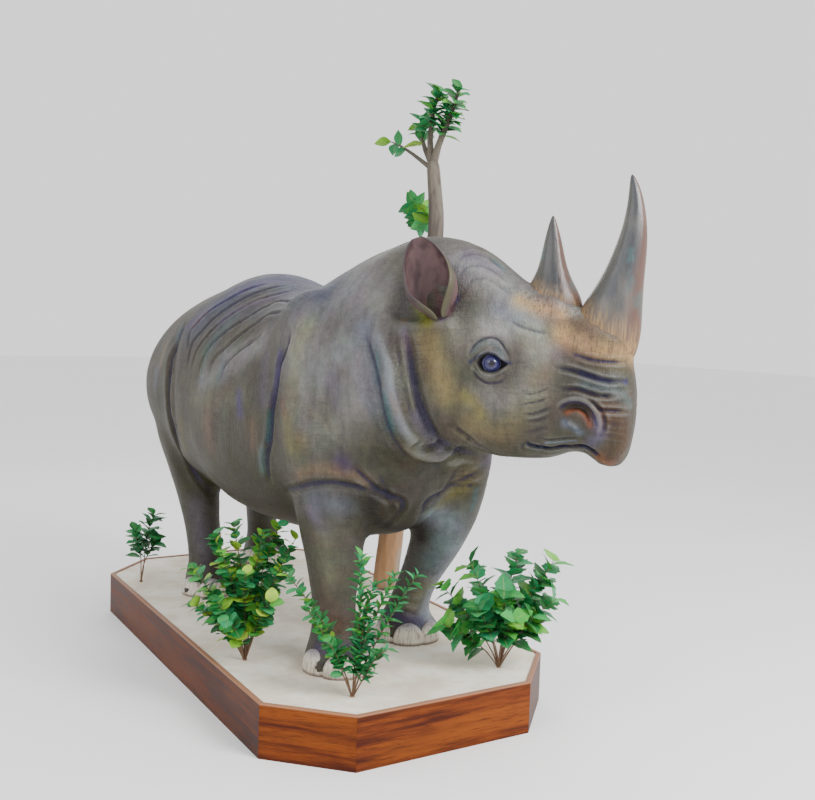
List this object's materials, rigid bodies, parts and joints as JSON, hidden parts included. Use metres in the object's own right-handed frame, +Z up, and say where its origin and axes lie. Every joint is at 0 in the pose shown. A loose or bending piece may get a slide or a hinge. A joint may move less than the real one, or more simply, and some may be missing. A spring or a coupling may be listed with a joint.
{
  "type": "replica rhinoceros mount",
  "caption": "Life-size painted replica rhinoceros standing on a low wooden display plinth, with artificial plants and a small tree.",
  "frame": {"origin": "centre of the plinth's underside", "axes": "+Z up, the animal faces -Y, and its left side is towards +X"},
  "size_m": [1.4777, 2.9842, 2.6988],
  "materials": {
    "hide": "painted grey-brown skin with a satin coat",
    "eye": "dark polished glass",
    "deck": "plywood under a sand-textured coat",
    "board": "varnished red-brown hardwood",
    "bark": "rough grey-brown bark, with cloth leaves",
    "leaf": "dyed green cloth leaves on thin stems"
  },
  "bodies": {
    "root": {"rhino": "hide", "eye_right": "eye", "eye_left": "eye", "platform": "deck", "board_front": "board", "board_front_left": "board", "board_left": "board", "board_back_left": "board", "board_back": "board", "board_back_right": "board", "board_right": "board", "board_front_right": "board", "tree": "bark", "plant_back_corner": "leaf", "plant_shoulder": "leaf", "plant_front": "leaf", "plant_left": "leaf"}
  },
  "joints": []
}
